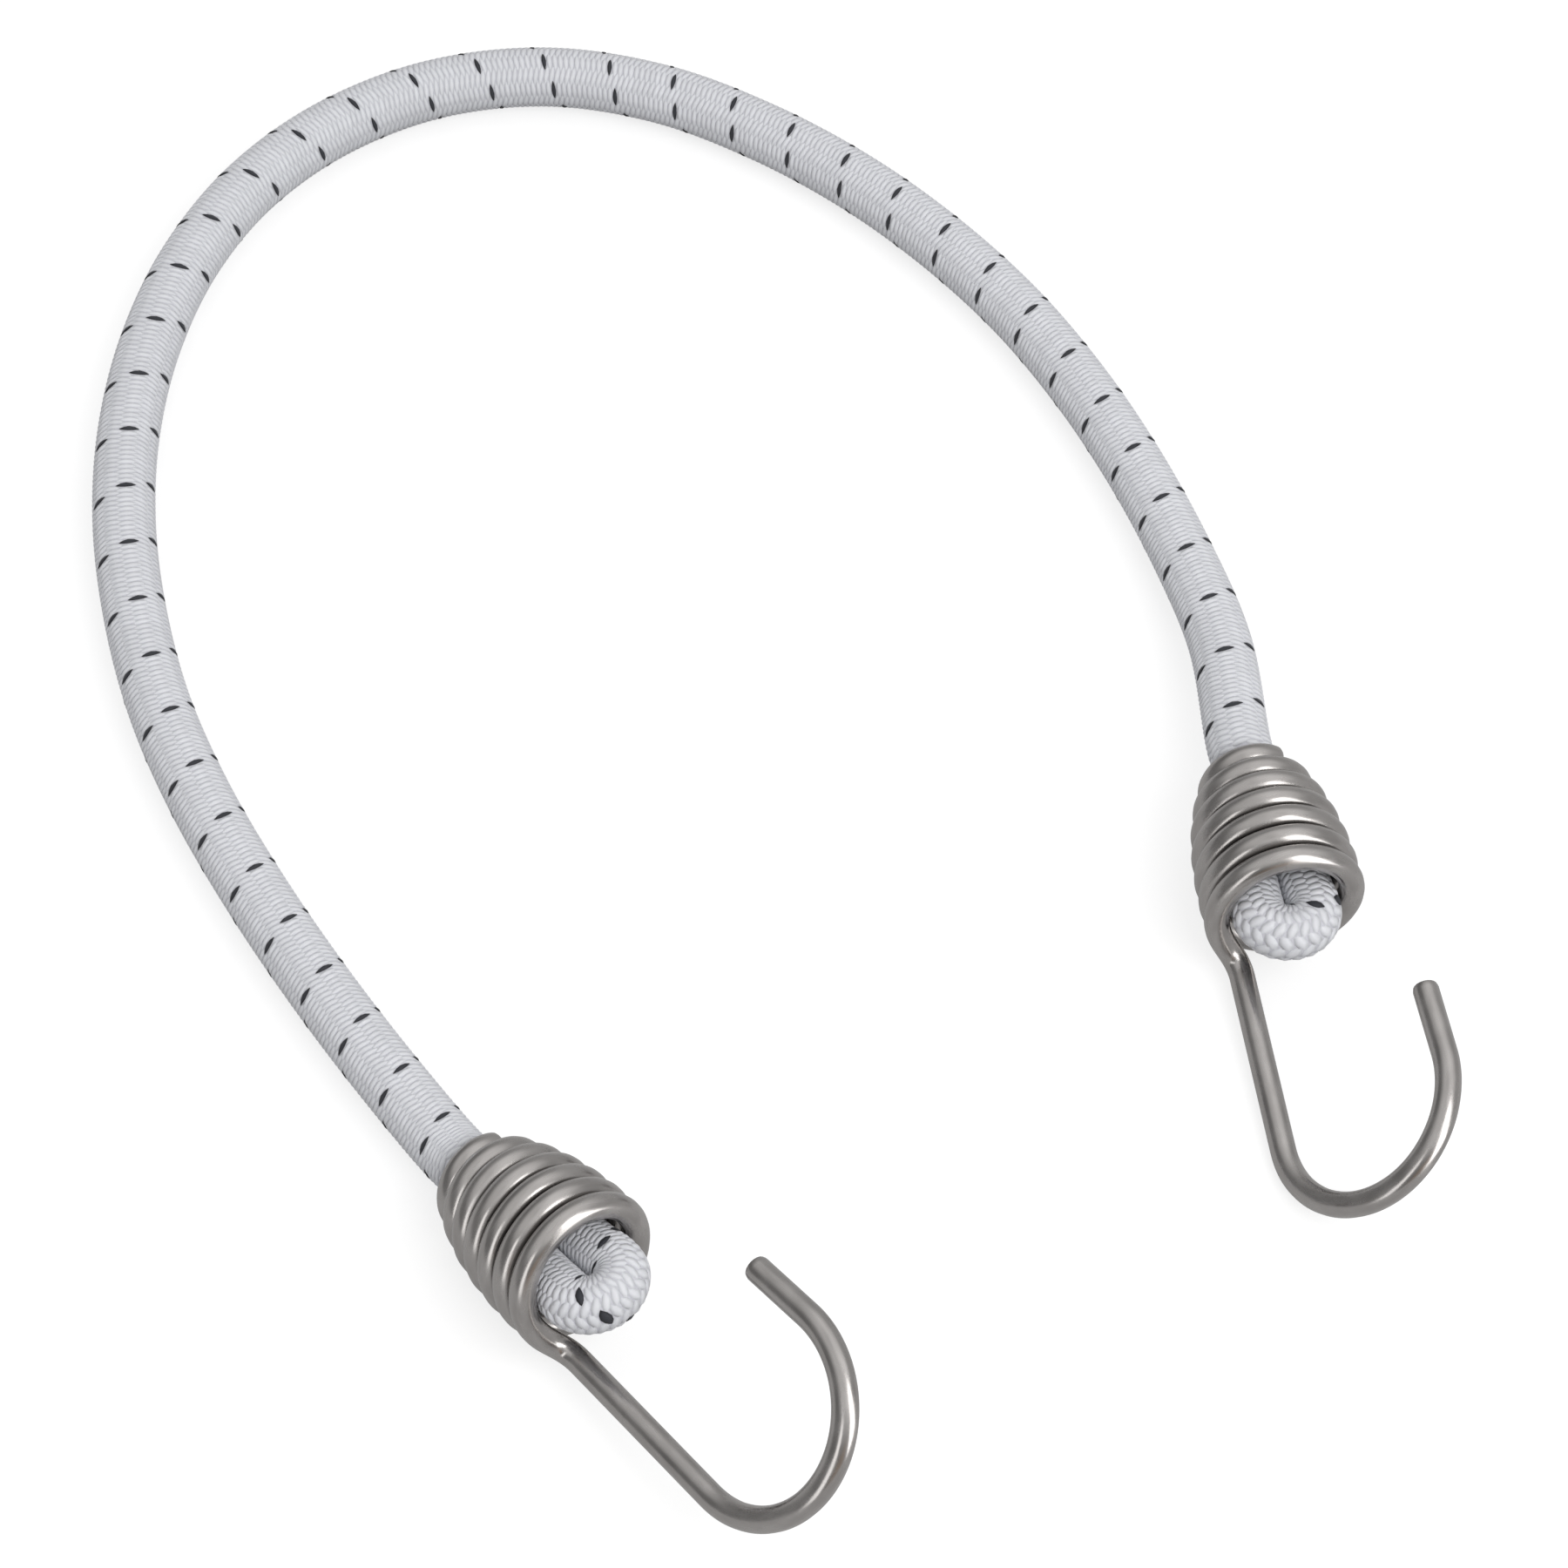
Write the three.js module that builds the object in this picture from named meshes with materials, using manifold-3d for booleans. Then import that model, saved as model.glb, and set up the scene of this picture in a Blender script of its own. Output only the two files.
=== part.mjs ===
// A bungee cord: an elastic cord with a wire hook at each end, lying in a loose arch on a table.
// Units are millimetres and +Z is up. The origin is on the table, under the middle of the two hooks.
import * as THREE from "three";
import { mergeVertices } from "three/addons/utils/BufferGeometryUtils.js";
import Module from "manifold-3d";

// Cord
const cordDiameter = 8;
const sheathWall = 0.7;
const clearance = 0.3; // left between pieces that touch on the real cord
const cordStep = 12; // one ring of faces in this length of cord
const cordSides = 10;
const strandSides = 6;
const ringStrands = 6;

// Hook wire
const wireDiameter = 3.1;
const wireStep = 1.9; // one ring of faces in this length of wire
const wireSides = 12;

// Coil that grips the cord, in turns of wire from its wide mouth to its narrow neck
const turnGap = 0.18;
const coilTurns = 6.32;
const cutLead = 1.6; // straight stub at the cut end of the coil
const mouthRadius = 8.36; // to the middle of the wire
const neckRadius = 4.5; // to the middle of the wire
const barrelPower = 2.7; // how late the coil narrows: 1 is a plain cone
const leaveAngle = THREE.MathUtils.degToRad(-50); // where the coil ends and the kink begins

// Kink, shank, bend and tip
const kinkReach = 4;
const shankOffset = 9.45; // from the coil's axis
const shankRise = 3.04; // past the coil's mouth
const shankLength = 24.2;
const shankLean = THREE.MathUtils.degToRad(5.5);
const shankSway = THREE.MathUtils.degToRad(3.5);
const bendRadius = 12.2; // to the middle of the wire
const bendAngle = THREE.MathUtils.degToRad(183);
const bendTwist = THREE.MathUtils.degToRad(9.4);
const tipLength = 8.9;
const footDepth = 0.5; // how deep each hook is flattened where it stands on the table

// Folded end of the cord, jammed in the coil
const foldGap = 0.3; // between the two legs of the fold
const foldTurn = THREE.MathUtils.degToRad(126); // of the fold about the coil's axis, from the shank
const tailDepth = 4; // how far the cut end reaches back into the mouth
const legDepth = 5.5; // how far back the leg runs straight, as wide as the coil lets it
const foldStep = 1.6;
const foldSides = 10;

// Where each hook lies: the middle of its mouth over the table, and the way its axis heads, rises
// and is rolled. Its height follows, because it stands on the table.
const leftMouthX = -40.03;
const leftMouthY = -24.52;
const leftHeading = THREE.MathUtils.degToRad(-50.4);
const leftRise = THREE.MathUtils.degToRad(14.5);
const leftRoll = THREE.MathUtils.degToRad(-28.6);
const leftLoopReach = 5.4; // of the fold's middle line past the mouth
const rightMouthX = 39.53;
const rightMouthY = 32.78;
const rightHeading = THREE.MathUtils.degToRad(-78.8);
const rightRise = THREE.MathUtils.degToRad(3.8);
const rightRoll = THREE.MathUtils.degToRad(-34.3);
const rightLoopReach = 3.6;

const ends = [
  {
    side: "left",
    mouth: [leftMouthX, leftMouthY],
    heading: leftHeading,
    rise: leftRise,
    roll: leftRoll,
    loopReach: leftLoopReach,
  },
  {
    side: "right",
    mouth: [rightMouthX, rightMouthY],
    heading: rightHeading,
    rise: rightRise,
    roll: rightRoll,
    loopReach: rightLoopReach,
  },
];

// Middle line of the cord on the table between its ends, as x, y and height over its resting line
const cordRoute = [
  [-66.0, 7.2, 0.4],
  [-75.1, 19.7, 0.1],
  [-83.6, 32.5, 0],
  [-91.4, 45.8, 0],
  [-97.9, 59.7, 0],
  [-102.6, 74.3, 0],
  [-105.7, 89.4, 0],
  [-106.8, 104.7, 0],
  [-105.7, 120.0, 0],
  [-102.1, 135.0, 0],
  [-95.5, 148.8, 0],
  [-85.5, 160.4, 0],
  [-72.5, 168.6, 0],
  [-57.5, 171.9, 0],
  [-42.4, 169.8, 0],
  [-28.3, 163.6, 0],
  [-15.5, 155.2, 0],
  [-4.0, 145.0, 0],
  [6.2, 133.4, 0],
  [14.7, 120.6, 0],
  [21.8, 107.0, 0.1],
  [27.8, 92.4, 0.5],
  [32.3, 77.0, 2.0],
];

// Materials
const steel = new THREE.MeshStandardMaterial({ color: 0x8f8a84, metalness: 1, roughness: 0.3 });
const whiteBraid = new THREE.MeshStandardMaterial({ color: 0xe9e9ef, metalness: 0, roughness: 0.7 });
const rubber = new THREE.MeshStandardMaterial({ color: 0xcdbb98, metalness: 0, roughness: 0.6 });

const UP = new THREE.Vector3(0, 0, 1);

// A regular polygon whose flat sides, not its corners, lie at the radius.
function polygon(radius, sides, phase = 0, centre = new THREE.Vector2()) {
  const corner = radius / Math.cos(Math.PI / sides);
  return Array.from({ length: sides }, (_, i) => {
    const angle = phase + ((i + 0.5) / sides) * 2 * Math.PI;
    return new THREE.Vector2(
      centre.x + corner * Math.cos(angle),
      centre.y + corner * Math.sin(angle),
    );
  });
}

function extrudeAlong(path, shape, steps) {
  return new THREE.ExtrudeGeometry(shape, { steps, bevelEnabled: false, extrudePath: path });
}

// A tube of changing radius along a curve, as rings of points. It is hollow where innerAt is given.
function sweptTube(curve, steps, sides, outerAt, innerAt) {
  const frames = curve.computeFrenetFrames(steps, false);
  const points = [];
  const faces = [];
  const ring = (i, radius) => {
    const middle = curve.getPointAt(i / steps);
    for (let k = 0; k < sides; k++) {
      const angle = (k / sides) * 2 * Math.PI;
      const spoke = frames.normals[i].clone().multiplyScalar(radius * Math.cos(angle));
      spoke.addScaledVector(frames.binormals[i], radius * Math.sin(angle));
      points.push(middle.clone().add(spoke));
    }
  };
  const quad = (a, b, c, d) => faces.push(a, b, c, a, c, d);
  const wall = (first, inwards) => {
    for (let i = 0; i < steps; i++) {
      for (let k = 0; k < sides; k++) {
        const a = first + i * sides + k;
        const b = first + i * sides + ((k + 1) % sides);
        if (inwards) quad(a, a + sides, b + sides, b);
        else quad(a, b, b + sides, a + sides);
      }
    }
  };
  for (let i = 0; i <= steps; i++) ring(i, outerAt(i / steps));
  wall(0, false);
  const last = steps * sides;
  if (innerAt) {
    const inner = points.length;
    for (let i = 0; i <= steps; i++) ring(i, innerAt(i / steps));
    wall(inner, true);
    for (let k = 0; k < sides; k++) {
      const n = (k + 1) % sides;
      quad(k, inner + k, inner + n, n);
      quad(last + k, last + n, inner + last + n, inner + last + k);
    }
  } else {
    for (let k = 1; k < sides - 1; k++) {
      faces.push(0, k + 1, k);
      faces.push(last, last + k, last + k + 1);
    }
  }
  const geometry = new THREE.BufferGeometry().setFromPoints(points);
  geometry.setIndex(faces);
  geometry.computeVertexNormals();
  return geometry;
}

// The coil's middle line in the hook's own frame: the origin is the middle of the mouth, +Z points
// out of it and +X points at the shank. t runs from the neck to the mouth.
const pitch = wireDiameter + turnGap;
class Coil extends THREE.Curve {
  angleAt(t) {
    return leaveAngle - 2 * Math.PI * coilTurns * (1 - t);
  }
  radiusAt(t) {
    return neckRadius + (mouthRadius - neckRadius) * (1 - (1 - t) ** barrelPower);
  }
  tAtDepth(depth) {
    return 1 - (depth / pitch + leaveAngle / (2 * Math.PI)) / coilTurns;
  }
  getPoint(t, target = new THREE.Vector3()) {
    const angle = this.angleAt(t);
    target.set(Math.cos(angle), Math.sin(angle), 0).multiplyScalar(this.radiusAt(t));
    return target.setZ((pitch * angle) / (2 * Math.PI));
  }
}

// A round bend: it sets out along a direction from its start and turns towards its centre.
class Bend extends THREE.Curve {
  constructor(start, along, inwards, radius, angle) {
    super();
    this.centre = start.clone().addScaledVector(inwards, radius);
    Object.assign(this, { along, inwards, radius, angle });
  }
  getPoint(t, target = new THREE.Vector3()) {
    const turned = t * this.angle;
    return target
      .copy(this.centre)
      .addScaledVector(this.inwards, -this.radius * Math.cos(turned))
      .addScaledVector(this.along, this.radius * Math.sin(turned));
  }
}

function straight(from, direction, length) {
  return new THREE.LineCurve3(from, from.clone().addScaledVector(direction, length));
}

function pathOf(...curves) {
  const path = new THREE.CurvePath();
  curves.forEach((curve) => {
    curve.arcLengthDivisions = 800;
    path.add(curve);
  });
  path.arcLengthDivisions = 4000;
  return path;
}

// The whole wire, from the end cut at the coil's neck to the tip of the hook.
const coil = new Coil();
const neckDirection = coil.getTangent(0);
const cutEnd = coil.getPoint(0).addScaledVector(neckDirection, -cutLead);
const shankStart = new THREE.Vector3(shankOffset, 0, shankRise);
const shankDirection = new THREE.Vector3(Math.sin(shankLean), Math.sin(shankSway), 1).normalize();
const kink = new THREE.CubicBezierCurve3(
  coil.getPoint(1),
  coil.getPoint(1).addScaledVector(coil.getTangent(1), kinkReach),
  shankStart.clone().addScaledVector(shankDirection, -kinkReach),
  shankStart,
);
const shank = straight(shankStart, shankDirection, shankLength);
const bendInwards = new THREE.Vector3(-Math.cos(bendTwist), Math.sin(bendTwist), 0);
bendInwards.addScaledVector(shankDirection, -bendInwards.dot(shankDirection)).normalize();
const bend = new Bend(shank.v2, shankDirection, bendInwards, bendRadius, bendAngle);
const tip = straight(bend.getPoint(1), bend.getTangent(1), tipLength);
const wirePath = pathOf(
  straight(cutEnd, neckDirection, cutLead),
  coil,
  kink,
  shank,
  bend,
  tip,
);
const wireSteps = Math.round(wirePath.getLength() / wireStep);

// Turns the section so that one flat side faces the middle of the bend all the way round.
function bendPhase() {
  const frames = wirePath.computeFrenetFrames(wireSteps, false);
  const before = wirePath.getLength() - tip.getLength() - bend.getLength() / 2;
  const i = Math.round((before / wirePath.getLength()) * wireSteps);
  const inwards = bend.centre.clone().sub(wirePath.getPointAt(i / wireSteps));
  return Math.atan2(inwards.dot(frames.binormals[i]), inwards.dot(frames.normals[i]));
}

function hookGeometry() {
  const section = polygon(wireDiameter / 2, wireSides, bendPhase());
  return extrudeAlong(wirePath, new THREE.Shape(section), wireSteps);
}

// Cuts off what lies under the table.
const manifold = await Module();
manifold.setup();
function solidOf(geometry) {
  const bare = geometry.clone().deleteAttribute("normal").deleteAttribute("uv");
  const merged = mergeVertices(bare.index ? bare.toNonIndexed() : bare);
  const vertProperties = merged.attributes.position.array;
  const triVerts = new Uint32Array(merged.index.array);
  return new manifold.Manifold(new manifold.Mesh({ numProp: 3, vertProperties, triVerts }));
}
function cutAtTable(geometry) {
  geometry.computeBoundingBox();
  const { min, max } = geometry.boundingBox;
  const width = max.x - min.x + wireDiameter;
  const depth = max.y - min.y + wireDiameter;
  const slab = new THREE.BoxGeometry(width, depth, wireDiameter);
  slab.translate((min.x + max.x) / 2, (min.y + max.y) / 2, -wireDiameter / 2);
  const { vertProperties, triVerts } = solidOf(geometry).subtract(solidOf(slab)).getMesh();
  const cut = new THREE.BufferGeometry();
  cut.setAttribute("position", new THREE.BufferAttribute(vertProperties, 3));
  cut.setIndex(new THREE.BufferAttribute(triVerts, 1));
  cut.computeVertexNormals();
  return cut;
}

// Least distance between the surfaces of two turns of the coil, measured on points.
function leastTurnGap() {
  const count = 1600;
  const points = Array.from({ length: count + 1 }, (_, i) => coil.getPoint(i / count));
  const apart = Math.round(count / coilTurns / 2);
  let least = Infinity;
  points.forEach((a, i) => {
    for (let j = i + apart; j <= count; j++) least = Math.min(least, a.distanceTo(points[j]));
  });
  return least - wireDiameter;
}
console.log("least gap between turns of the coil: " + leastTurnGap().toFixed(2) + " mm");

// The cord stops just behind the wire's cut end, and the squeezed fold goes on from there. Its two
// legs fill the coil's mouth, and where it comes in alone it fills the neck.
const foldStart = cutEnd.z - wireDiameter / 2;
const cordEnd = foldStart - clearance;
const wireCorner = wireDiameter / 2 / Math.cos(Math.PI / wireSides);
const roomAt = (t) => coil.radiusAt(t) - wireCorner - clearance;
const squeezedRadius = roomAt(0);
const foldedRadius = (roomAt(coil.tAtDepth(legDepth)) - foldGap / 2) / 2;

// The fold's middle line lies in the XZ plane of its own frame.
function foldCurves(loopReach) {
  const legX = foldedRadius + foldGap / 2;
  const neckEnd = new THREE.Vector3(0, 0, foldStart + wireDiameter);
  const legStart = new THREE.Vector3(-legX, 0, -legDepth);
  const pull = (legStart.z - neckEnd.z) / 2;
  const entry = straight(new THREE.Vector3(0, 0, foldStart), UP, wireDiameter);
  const spread = new THREE.CubicBezierCurve3(
    neckEnd,
    neckEnd.clone().addScaledVector(UP, pull),
    legStart.clone().addScaledVector(UP, -pull),
    legStart,
  );
  const leg = straight(legStart, UP, loopReach - legX - legStart.z);
  const loop = new Bend(leg.v2, UP, new THREE.Vector3(1, 0, 0), legX, Math.PI);
  const tailTop = loop.getPoint(1);
  const tail = straight(tailTop, UP, -(tailTop.z + tailDepth));
  return { entry, spread, path: pathOf(entry, spread, leg, loop, tail) };
}

function foldGeometries(loopReach) {
  const { entry, spread, path } = foldCurves(loopReach);
  const length = path.getLength();
  const steps = Math.round(length / foldStep);
  const from = entry.getLength() / length;
  const to = (entry.getLength() + spread.getLength()) / length;
  const outerAt = (share) =>
    THREE.MathUtils.lerp(
      squeezedRadius,
      foldedRadius,
      THREE.MathUtils.smoothstep(share, from, to),
    );
  const boreAt = (share) => outerAt(share) - sheathWall;
  const coreAt = (share) => boreAt(share) - clearance;
  return {
    sheath: sweptTube(path, steps, foldSides, outerAt, boreAt),
    core: sweptTube(path, steps, foldSides, coreAt),
  };
}

// A group at the mouth of one hook, in the hook's own frame, as high as the hook stands.
const hookWire = hookGeometry();
function endFrame({ mouth, heading, rise, roll }) {
  const frame = new THREE.Group();
  frame.rotateZ(heading);
  frame.rotateY(Math.PI / 2 - rise);
  frame.rotateZ(roll);
  frame.updateMatrixWorld(true);
  const turned = hookWire.clone().applyMatrix4(frame.matrixWorld);
  turned.computeBoundingBox();
  frame.position.set(...mouth, -turned.boundingBox.min.z - footDepth);
  frame.updateMatrixWorld(true);
  return frame;
}

function namedMesh(name, geometry, material) {
  const mesh = new THREE.Mesh(geometry, material);
  mesh.name = name;
  return mesh;
}

function hookEnd(end) {
  const frame = endFrame(end);
  const standing = cutAtTable(hookWire.clone().applyMatrix4(frame.matrixWorld));
  standing.applyMatrix4(frame.matrixWorld.clone().invert());
  frame.add(namedMesh(end.side + "_hook", standing, steel));
  const fold = foldGeometries(end.loopReach);
  const foldFrame = new THREE.Group();
  foldFrame.rotation.z = foldTurn;
  foldFrame.add(namedMesh(end.side + "_folded_sheath", fold.sheath, whiteBraid));
  foldFrame.add(namedMesh(end.side + "_folded_core", fold.core, rubber));
  frame.add(foldFrame);
  return frame;
}

// The free cord from the left neck to the right one. It leaves each coil in line with its axis.
function cordPath() {
  const leadLength = cordDiameter / 2;
  const lead = (end) =>
    [cordEnd, cordEnd - leadLength].map((z) =>
      endFrame(end).localToWorld(new THREE.Vector3(0, 0, z)),
    );
  const resting = cordRoute.map(([x, y, lift]) => new THREE.Vector3(x, y, cordDiameter / 2 + lift));
  const points = [...lead(ends[0]), ...resting, ...lead(ends[1]).reverse()];
  const path = new THREE.CatmullRomCurve3(points, false, "centripetal");
  path.arcLengthDivisions = 4000;
  return path;
}

function freeCord() {
  const group = new THREE.Group();
  const path = cordPath();
  const steps = Math.round(path.getLength() / cordStep);
  const boreRadius = cordDiameter / 2 - sheathWall;
  const sheath = new THREE.Shape(polygon(cordDiameter / 2, cordSides));
  sheath.holes.push(new THREE.Path(polygon(boreRadius, cordSides)));
  group.add(namedMesh("cord_sheath", extrudeAlong(path, sheath, steps), whiteBraid));

  // One strand in the middle and a ring of strands round it, all a clearance apart
  const strandDiameter = (boreRadius - 2 * clearance) / 1.5;
  const ringRadius = boreRadius - clearance - strandDiameter / 2;
  const centres = [new THREE.Vector2()];
  for (let i = 0; i < ringStrands; i++) {
    const angle = (i / ringStrands) * 2 * Math.PI;
    centres.push(new THREE.Vector2(Math.cos(angle), Math.sin(angle)).multiplyScalar(ringRadius));
  }
  centres.forEach((centre, i) => {
    const section = new THREE.Shape(polygon(strandDiameter / 2, strandSides, 0, centre));
    group.add(namedMesh("rubber_strand_" + (i + 1), extrudeAlong(path, section, steps), rubber));
  });
  console.log("free cord: " + path.getLength().toFixed(1) + " mm in " + steps + " steps");
  return group;
}

const bungee = new THREE.Group();
ends.forEach((end) => bungee.add(hookEnd(end)));
bungee.add(freeCord());

export default bungee;
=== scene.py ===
# %% [markdown]
# # A bungee cord with two coiled wire hooks
# An elastic cord lies in a loose arch on a white table. Rubber strands fill it, and a tight white
# braid with a black tracer yarn covers it. At each end a steel wire is wound into a beehive coil that
# grips the folded end of the cord, and the same wire then runs out into an open hook.
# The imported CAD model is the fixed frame: it gives the places, the sizes and the moving bodies.
# This lesson dresses it: first the camera, then the cord, the braid, the wire, the floor and the light.

# %% Load the fixed frame
import math

import bpy
import numpy as np
from mathutils import Matrix, Vector


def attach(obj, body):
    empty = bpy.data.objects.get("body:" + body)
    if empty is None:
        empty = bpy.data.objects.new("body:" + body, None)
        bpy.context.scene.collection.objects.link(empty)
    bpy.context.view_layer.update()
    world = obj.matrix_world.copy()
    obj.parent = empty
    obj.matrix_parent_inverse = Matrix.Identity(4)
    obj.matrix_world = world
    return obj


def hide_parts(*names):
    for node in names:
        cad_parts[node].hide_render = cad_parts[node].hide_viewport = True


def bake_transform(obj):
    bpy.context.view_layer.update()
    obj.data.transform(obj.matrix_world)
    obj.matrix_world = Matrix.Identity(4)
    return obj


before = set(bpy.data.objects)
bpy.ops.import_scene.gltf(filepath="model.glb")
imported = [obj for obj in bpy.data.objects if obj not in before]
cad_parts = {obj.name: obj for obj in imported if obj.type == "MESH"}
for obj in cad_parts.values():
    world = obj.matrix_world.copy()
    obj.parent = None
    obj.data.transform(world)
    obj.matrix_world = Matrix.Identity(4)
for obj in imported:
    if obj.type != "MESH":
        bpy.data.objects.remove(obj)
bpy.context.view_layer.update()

MM = 0.001  # the CAD model is drawn in millimetres and the scene in metres
print("nodes:", sorted(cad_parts))

# %% [markdown]
# ## The camera
# The picture was taken from the hook side, well above the table and with a long lens, so the cord
# hardly gets thinner towards the back. A long lens far away gives the same flat perspective. The
# camera is built from its three axes, because that makes the small roll of the picture easy to add.

# %% Set the camera at the picture's angle
CAMERA_PLACE = Vector((-20.9, -355.8, 526.9)) * MM
CAMERA_RISE = math.radians(52)  # above the table
CAMERA_ROLL = math.radians(3)
LENS_MM = 125
SENSOR_MM = 36

looking = Vector((0, math.cos(CAMERA_RISE), -math.sin(CAMERA_RISE)))
upright = Vector((0, math.sin(CAMERA_RISE), math.cos(CAMERA_RISE)))
picture_right = math.cos(CAMERA_ROLL) * Vector((1, 0, 0)) + math.sin(CAMERA_ROLL) * upright
picture_up = -math.sin(CAMERA_ROLL) * Vector((1, 0, 0)) + math.cos(CAMERA_ROLL) * upright

camera_data = bpy.data.cameras.new("table_camera")
camera_data.lens = LENS_MM
camera_data.sensor_width = SENSOR_MM
camera = bpy.data.objects.new("table_camera", camera_data)
bpy.context.scene.collection.objects.link(camera)
turn = Matrix((picture_right, picture_up, -looking)).transposed().to_4x4()
camera.matrix_world = Matrix.Translation(CAMERA_PLACE) @ turn
bpy.context.scene.camera = camera
print("camera:", [round(v, 4) for v in CAMERA_PLACE], "lens", LENS_MM, "mm")

# %% [markdown]
# ## Where the two ends lie
# Each hook has a frame of its own: its origin is the middle of the coil's mouth, +Z points out of the
# mouth and +X points at the shank. Everything on an end is worked out in that frame and then put in
# its place with one matrix, so the left end and the right end share every formula.

# %% Sizes of the cord, and the frames of the two ends
CORD_DIAMETER = 8 * MM
WIRE_DIAMETER = 3.1 * MM

def end_frame(mouth, heading, rise, roll):
    """The matrix from a hook's own frame to the table's."""
    return (
        Matrix.Translation(Vector(mouth) * MM)
        @ Matrix.Rotation(math.radians(heading), 4, "Z")
        @ Matrix.Rotation(math.radians(90 - rise), 4, "Y")
        @ Matrix.Rotation(math.radians(roll), 4, "Z")
    )

left_end = end_frame((-40.03, -24.52, 11.40), heading=-50.4, rise=14.5, roll=-28.6)
right_end = end_frame((39.53, 32.78, 9.84), heading=-78.8, rise=3.8, roll=-34.3)
print("mouth of the left coil:", [round(v, 4) for v in left_end.translation])
print("mouth of the right coil:", [round(v, 4) for v in right_end.translation])

# %% [markdown]
# ## The cord's route
# The cord leaves each coil in line with the coil's axis, comes down to the table within a few
# centimetres and lies in one loose arch. The points are the same ones that the CAD model follows, and
# a centripetal spline runs through them, because it never loops or overshoots where the points are
# unevenly spaced.

# %% Draw the cord's middle line
NECK_DEPTH = 23.22  # from a coil's mouth back to where the free cord starts
STRAIGHT_LEAD = 4  # for which the cord runs on in line with its coil
REST_HEIGHT = 4  # of the middle line of a cord that rests on the table
CORD_ROUTE = [  # x, y and height over that line
    (-66.0, 7.2, 0.4), (-75.1, 19.7, 0.1), (-83.6, 32.5, 0), (-91.4, 45.8, 0),
    (-97.9, 59.7, 0), (-102.6, 74.3, 0), (-105.7, 89.4, 0), (-106.8, 104.7, 0),
    (-105.7, 120.0, 0), (-102.1, 135.0, 0), (-95.5, 148.8, 0), (-85.5, 160.4, 0),
    (-72.5, 168.6, 0), (-57.5, 171.9, 0), (-42.4, 169.8, 0), (-28.3, 163.6, 0),
    (-15.5, 155.2, 0), (-4.0, 145.0, 0), (6.2, 133.4, 0), (14.7, 120.6, 0),
    (21.8, 107.0, 0.1), (27.8, 92.4, 0.5), (32.3, 77.0, 2.0),
]

def through_points(points, steps):
    """A centripetal spline through the points, with this many steps between each pair."""
    points = [np.array(p, float) for p in points]
    points = [2 * points[0] - points[1], *points, 2 * points[-1] - points[-2]]
    line = []
    for p0, p1, p2, p3 in zip(points, points[1:], points[2:], points[3:]):
        d0, d1, d2 = (np.linalg.norm(b - a) ** 0.5 for a, b in ((p0, p1), (p1, p2), (p2, p3)))
        m1 = ((p1 - p0) / d0 - (p2 - p0) / (d0 + d1) + (p2 - p1) / d1) * d1
        m2 = ((p2 - p1) / d1 - (p3 - p1) / (d1 + d2) + (p3 - p2) / d2) * d1
        for t in np.arange(steps) / steps:
            line.append(
                p1 + m1 * t
                + (3 * (p2 - p1) - 2 * m1 - m2) * t * t
                + (2 * (p1 - p2) + m1 + m2) * t**3
            )
    return np.array(line + [points[-2]])

def evenly(line, step):
    """The same line with its points about one step apart, and how far along it each one is."""
    along = np.r_[0, np.cumsum(np.linalg.norm(np.diff(line, axis=0), axis=1))]
    marks = np.linspace(0, along[-1], max(2, round(along[-1] / step) + 1))
    return np.stack([np.interp(marks, along, line[:, i]) for i in range(3)], axis=1), marks

def lead_points(end):
    """Where the free cord leaves a coil, and the point to which it runs on in line with it."""
    depths = (NECK_DEPTH, NECK_DEPTH + STRAIGHT_LEAD)
    return [np.array(end @ Vector((0, 0, -depth * MM))) for depth in depths]

resting = [np.array((x, y, REST_HEIGHT + lift)) * MM for x, y, lift in CORD_ROUTE]
route = lead_points(left_end) + resting + lead_points(right_end)[::-1]
cord_line, cord_marks = evenly(through_points(route, steps=24), step=1 * MM)
CORD_LENGTH = cord_marks[-1]
print("free cord:", round(CORD_LENGTH * 1000, 1), "mm,", len(cord_line), "points")

# %% [markdown]
# ## Small helpers for node trees
# The braid repeats about six thousand stitches along a curved path, and the wire follows a rule, so
# both are grown by geometry node trees. The finishes and the light are node trees as well. A tree is
# easier to read when each formula is one line of Python, so the first helper makes a node, plugs in
# what it needs and hands back its output. It works for every kind of tree.

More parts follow.
